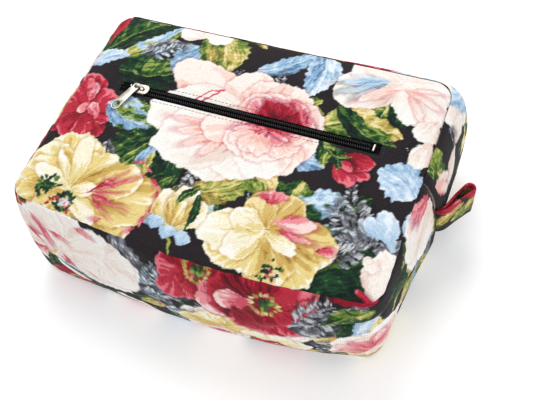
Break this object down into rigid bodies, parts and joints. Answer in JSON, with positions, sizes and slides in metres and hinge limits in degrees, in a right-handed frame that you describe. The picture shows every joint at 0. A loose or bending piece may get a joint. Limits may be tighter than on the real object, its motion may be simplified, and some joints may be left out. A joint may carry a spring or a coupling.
{
  "type": "makeup bag",
  "caption": "Boxy padded cloth bag with a zipped mouth along its top and right end, a zipped pocket in its front panel and a folded loop tab",
  "frame": {"origin": "centre of the back panel's outer face, on the surface that the bag lies on", "axes": "+X along the width towards the loop tab, +Y along the height towards the mouth, +Z through the thickness towards the front panel"},
  "size_m": [0.2992, 0.196, 0.0961],
  "materials": {
    "floral_canvas": "printed cotton canvas, large flowers and leaves on a near-black ground",
    "foam_padding": "soft sew-in foam",
    "lining_cotton": "plain woven cotton",
    "zip_tape": "black herringbone tape",
    "zip_coil": "black nylon",
    "nickel": "nickel plate",
    "black_thread": "spun polyester thread"
  },
  "bodies": {
    "bag": {"front_panel": "floral_canvas", "back_panel": "floral_canvas", "main_gusset": "floral_canvas", "mouth_strip_front": "floral_canvas", "mouth_strip_back": "floral_canvas", "front_padding": "foam_padding", "back_padding": "foam_padding", "gusset_padding": "foam_padding", "front_lining": "lining_cotton", "back_lining": "lining_cotton", "gusset_lining": "lining_cotton", "mouth_facing_front": "lining_cotton", "mouth_facing_back": "lining_cotton", "pocket_bag_front": "lining_cotton", "pocket_bag_back": "lining_cotton", "pocket_tape_upper": "zip_tape", "pocket_tape_lower": "zip_tape", "mouth_tape_front": "zip_tape", "mouth_tape_back": "zip_tape", "pocket_coil_upper": "zip_coil", "pocket_coil_lower": "zip_coil", "mouth_coil_front": "zip_coil", "mouth_coil_back": "zip_coil", "pocket_top_stops": "nickel", "pocket_bottom_stop": "nickel", "mouth_top_stops": "nickel", "mouth_bottom_stop": "nickel", "pocket_topstitch": "black_thread", "mouth_topstitch": "black_thread", "junction_topstitch": "black_thread"},
    "pocket_slider": {"pocket_slider": "nickel"},
    "pocket_pull": {"pocket_pull": "nickel"},
    "mouth_slider": {"mouth_slider": "nickel"},
    "mouth_pull": {"mouth_pull": "nickel"},
    "mouth_front": {"mouth_flap_front": "floral_canvas", "flap_facing_front": "lining_cotton", "flap_tape_front": "zip_tape", "flap_coil_front": "zip_coil", "flap_topstitch_front": "black_thread"},
    "mouth_back": {"mouth_flap_back": "floral_canvas", "flap_facing_back": "lining_cotton", "flap_tape_back": "zip_tape", "flap_coil_back": "zip_coil", "flap_topstitch_back": "black_thread"},
    "loop": {"loop_tab": "floral_canvas", "loop_topstitch": "black_thread"}
  },
  "joints": [
    {"name": "pocket_zip_slide", "type": "slide", "parent": "bag", "child": "pocket_slider", "axis": [1, 0, 0], "range_m": [0, 0.169]},
    {"name": "pocket_pull_swing", "type": "hinge", "parent": "pocket_slider", "child": "pocket_pull", "pos_m": [-0.0877, 0.02, 0.09435], "axis": [0, 0, 1], "range_deg": [-60, 60]},
    {"name": "mouth_zip_slide", "type": "slide", "parent": "bag", "child": "mouth_slider", "axis": [1, 0, 0], "range_m": [0, 0.214]},
    {"name": "mouth_pull_swing", "type": "hinge", "parent": "mouth_slider", "child": "mouth_pull", "pos_m": [-0.1152, 0.09225, 0.0455], "axis": [0, 1, 0], "range_deg": [-50, 50]},
    {"name": "mouth_front_hinge", "type": "hinge", "parent": "bag", "child": "mouth_front", "pos_m": [0, 0.0892, 0.0902], "axis": [1, 0, 0], "range_deg": [0, 80]},
    {"name": "mouth_back_hinge", "type": "hinge", "parent": "bag", "child": "mouth_back", "pos_m": [0, 0.0892, 0.0008], "axis": [-1, 0, 0], "range_deg": [0, 80]},
    {"name": "loop_swing", "type": "hinge", "parent": "bag", "child": "loop", "pos_m": [0.1372, 0.005, 0.0455], "axis": [0, 0, 1], "range_deg": [-90, 15]}
  ],
  "couplings": [
    {"joint": "mouth_front_hinge", "follows": "mouth_zip_slide", "rad_per_m": 6.52},
    {"joint": "mouth_back_hinge", "follows": "mouth_zip_slide", "rad_per_m": 6.52}
  ]
}
